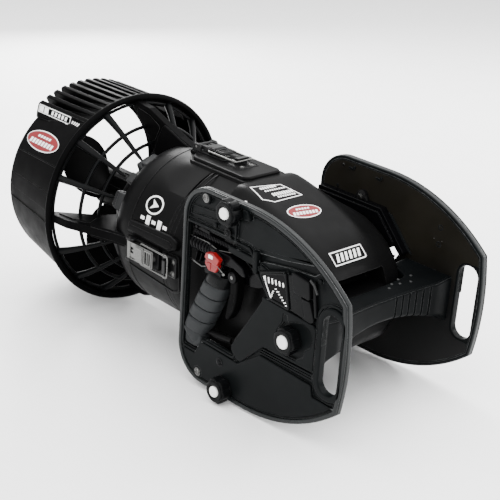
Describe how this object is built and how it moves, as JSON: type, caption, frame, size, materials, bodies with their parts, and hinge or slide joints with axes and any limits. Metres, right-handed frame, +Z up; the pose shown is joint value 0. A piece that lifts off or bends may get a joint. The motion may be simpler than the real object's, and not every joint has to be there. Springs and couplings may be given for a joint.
{
  "type": "underwater scooter",
  "caption": "Diver's underwater scooter: ducted propeller behind a latched two-part sealed hull, between two side plates with pistol grips, triggers and hand slots.",
  "frame": {"origin": "under the middle of the bounding box, level with the lowest point of the duct", "axes": "+X towards the nose along the thrust axis, +Y to the rider's left, +Z up"},
  "size_m": [0.755, 0.352, 0.352],
  "materials": {
    "hull_plastic": "fine-grained black moulded plastic, satin",
    "plate_plastic": "black moulded plastic, fine grain, semi-gloss edges",
    "handle_plastic": "charcoal moulded plastic, satin",
    "housing_plastic": "black moulded plastic, satin",
    "grey_plastic": "dark grey moulded plastic",
    "propeller_plastic": "black glass-filled plastic, smooth",
    "latch_plastic": "black latch plastic",
    "knob_plastic": "black knob with a white cap",
    "trigger_plastic": "black trigger plastic",
    "inner_plastic": "grey inner moulding",
    "red_plastic": "red moulded plastic",
    "grip_rubber": "dark grey overmoulded rubber",
    "seal_rubber": "black seal rubber",
    "stainless": "brushed stainless steel",
    "motor_metal": "painted motor body",
    "gearbox_metal": "cast aluminium",
    "battery_pack": "wrapped battery cells",
    "circuit_board": "green circuit board",
    "clear_window": "clear plastic lens"
  },
  "bodies": {
    "hull": {"duct_shroud": "hull_plastic", "duct_struts": "hull_plastic", "intake_guard": "hull_plastic", "motor_cover": "hull_plastic", "tail_housing": "hull_plastic", "collar_pads": "grey_plastic", "motor": "motor_metal", "gearbox": "gearbox_metal", "shaft_bearings": "stainless", "shaft_seal": "seal_rubber", "main_o_ring": "seal_rubber", "battery_case": "hull_plastic", "battery_left": "battery_pack", "battery_right": "battery_pack", "battery_tray": "inner_plastic", "controller_board": "circuit_board", "latch_bases": "latch_plastic", "latch_keepers": "latch_plastic", "side_plate_left": "plate_plastic", "side_plate_right": "plate_plastic", "plate_posts": "hull_plastic", "cross_handle": "handle_plastic", "screws": "stainless", "knob_inserts": "stainless", "trigger_housing_left": "housing_plastic", "trigger_housing_right": "housing_plastic", "trigger_pins": "stainless", "trigger_springs": "stainless", "grip_left": "grip_rubber", "grip_right": "grip_rubber", "gauge_housing": "housing_plastic", "gauge_window": "clear_window", "gauge_cover": "housing_plastic", "switch_cover_left": "housing_plastic"},
    "propeller": {"propeller_hub": "propeller_plastic", "propeller_blades": "propeller_plastic", "propeller_shaft": "stainless", "propeller_nut": "stainless"},
    "trigger_left": {"trigger_left": "trigger_plastic"},
    "safety_catch_left": {"safety_catch_left": "red_plastic"},
    "knob_left_middle": {"knob_left_middle": "knob_plastic"},
    "knob_left_bottom": {"knob_left_bottom": "knob_plastic"},
    "trigger_right": {"trigger_right": "trigger_plastic"},
    "safety_catch_right": {"safety_catch_right": "red_plastic"},
    "knob_right_top": {"knob_right_top": "knob_plastic"},
    "knob_right_middle": {"knob_right_middle": "knob_plastic"},
    "knob_right_bottom": {"knob_right_bottom": "knob_plastic"},
    "latch_lever_left": {"latch_lever_left": "stainless"},
    "latch_bail_left": {"latch_bail_left": "stainless"},
    "latch_lever_top": {"latch_lever_top": "latch_plastic"},
    "latch_bail_top": {"latch_bail_top": "stainless"},
    "latch_lever_right": {"latch_lever_right": "stainless"},
    "latch_bail_right": {"latch_bail_right": "stainless"},
    "latch_lever_bottom": {"latch_lever_bottom": "latch_plastic"},
    "latch_bail_bottom": {"latch_bail_bottom": "stainless"}
  },
  "joints": [
    {"name": "propeller_spin", "type": "hinge", "parent": "hull", "child": "propeller", "pos_m": [-0.2695, 0, 0.176], "axis": [1, 0, 0], "continuous": true},
    {"name": "trigger_left_squeeze", "type": "hinge", "parent": "hull", "child": "trigger_left", "pos_m": [0.1645, 0.126, 0.212], "axis": [0, 1, 0], "range_deg": [0, 14], "stiffness_Nm_per_rad": 0.5, "springref_deg": -11.46},
    {"name": "safety_catch_left_turn", "type": "hinge", "parent": "hull", "child": "safety_catch_left", "pos_m": [0.1325, 0.14, 0.224], "axis": [0, 1, 0], "range_deg": [0, 60]},
    {"name": "knob_left_middle_turn", "type": "hinge", "parent": "hull", "child": "knob_left_middle", "pos_m": [0.2815, 0.14, 0.17], "axis": [0, 1, 0], "continuous": true},
    {"name": "knob_left_bottom_turn", "type": "hinge", "parent": "hull", "child": "knob_left_bottom", "pos_m": [0.1635, 0.14, 0.045], "axis": [0, 1, 0], "continuous": true},
    {"name": "trigger_right_squeeze", "type": "hinge", "parent": "hull", "child": "trigger_right", "pos_m": [0.1645, -0.126, 0.212], "axis": [0, 1, 0], "range_deg": [0, 14], "stiffness_Nm_per_rad": 0.5, "springref_deg": -11.46},
    {"name": "safety_catch_right_turn", "type": "hinge", "parent": "hull", "child": "safety_catch_right", "pos_m": [0.1325, -0.14, 0.224], "axis": [0, 1, 0], "range_deg": [0, 60]},
    {"name": "knob_right_top_turn", "type": "hinge", "parent": "hull", "child": "knob_right_top", "pos_m": [0.1635, -0.14, 0.307], "axis": [0, 1, 0], "continuous": true},
    {"name": "knob_right_middle_turn", "type": "hinge", "parent": "hull", "child": "knob_right_middle", "pos_m": [0.2815, -0.14, 0.17], "axis": [0, 1, 0], "continuous": true},
    {"name": "knob_right_bottom_turn", "type": "hinge", "parent": "hull", "child": "knob_right_bottom", "pos_m": [0.1635, -0.14, 0.045], "axis": [0, 1, 0], "continuous": true},
    {"name": "latch_lever_left_open", "type": "hinge", "parent": "hull", "child": "latch_lever_left", "pos_m": [-0.0585, 0.138, 0.176], "axis": [0, 0, 1], "range_deg": [0, 130]},
    {"name": "latch_bail_left_swing", "type": "hinge", "parent": "latch_lever_left", "child": "latch_bail_left", "pos_m": [-0.0345, 0.1365, 0.176], "axis": [0, 0, 1], "range_deg": [-111, 0]},
    {"name": "latch_lever_top_open", "type": "hinge", "parent": "hull", "child": "latch_lever_top", "pos_m": [-0.0585, 0, 0.314], "axis": [0, -1, 0], "range_deg": [0, 130]},
    {"name": "latch_bail_top_swing", "type": "hinge", "parent": "latch_lever_top", "child": "latch_bail_top", "pos_m": [-0.0345, 0, 0.3125], "axis": [0, -1, 0], "range_deg": [-111, 0]},
    {"name": "latch_lever_right_open", "type": "hinge", "parent": "hull", "child": "latch_lever_right", "pos_m": [-0.0585, -0.138, 0.176], "axis": [0, 0, -1], "range_deg": [0, 130]},
    {"name": "latch_bail_right_swing", "type": "hinge", "parent": "latch_lever_right", "child": "latch_bail_right", "pos_m": [-0.0345, -0.1365, 0.176], "axis": [0, 0, -1], "range_deg": [-111, 0]},
    {"name": "latch_lever_bottom_open", "type": "hinge", "parent": "hull", "child": "latch_lever_bottom", "pos_m": [-0.0585, 0, 0.038], "axis": [0, 1, 0], "range_deg": [0, 130]},
    {"name": "latch_bail_bottom_swing", "type": "hinge", "parent": "latch_lever_bottom", "child": "latch_bail_bottom", "pos_m": [-0.0345, 0, 0.0395], "axis": [0, 1, 0], "range_deg": [-111, 0]}
  ],
  "couplings": [
    {"joint": "latch_bail_left_swing", "follows": "latch_lever_left_open", "ratio": -0.85},
    {"joint": "latch_bail_top_swing", "follows": "latch_lever_top_open", "ratio": -0.85},
    {"joint": "latch_bail_right_swing", "follows": "latch_lever_right_open", "ratio": -0.85},
    {"joint": "latch_bail_bottom_swing", "follows": "latch_lever_bottom_open", "ratio": -0.85}
  ]
}
